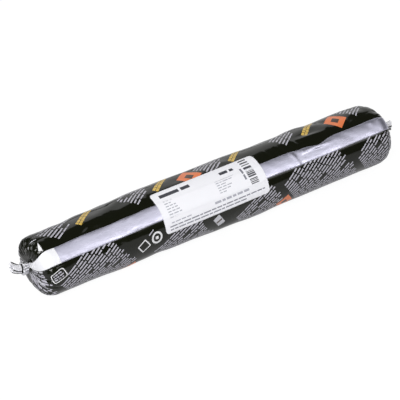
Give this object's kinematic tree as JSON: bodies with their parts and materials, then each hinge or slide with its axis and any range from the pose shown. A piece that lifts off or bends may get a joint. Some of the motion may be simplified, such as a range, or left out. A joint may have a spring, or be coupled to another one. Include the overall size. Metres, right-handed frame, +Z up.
{
  "type": "sealant sausage pack",
  "caption": "Filled foil sausage of adhesive sealant, gathered and clipped at its ends, with a silver sealing strip and a paper label, lying on its own small flat.",
  "frame": {"origin": "centre of the small flat that the pack rests on, midway between its shoulders", "axes": "+X along the pack towards its right end, -Y towards the label and the sealing strip, +Z up"},
  "size_m": [0.3586, 0.0518, 0.0486],
  "materials": {
    "film": "glossy printed foil laminate",
    "foil": "satin unprinted foil laminate",
    "label_paper": "semi-gloss coated paper",
    "clip_metal": "bright drawn strip"
  },
  "bodies": {
    "root": {"casing": "film", "seam_strip": "foil", "label": "label_paper", "clip_left": "clip_metal", "clip_right": "clip_metal"}
  },
  "joints": []
}
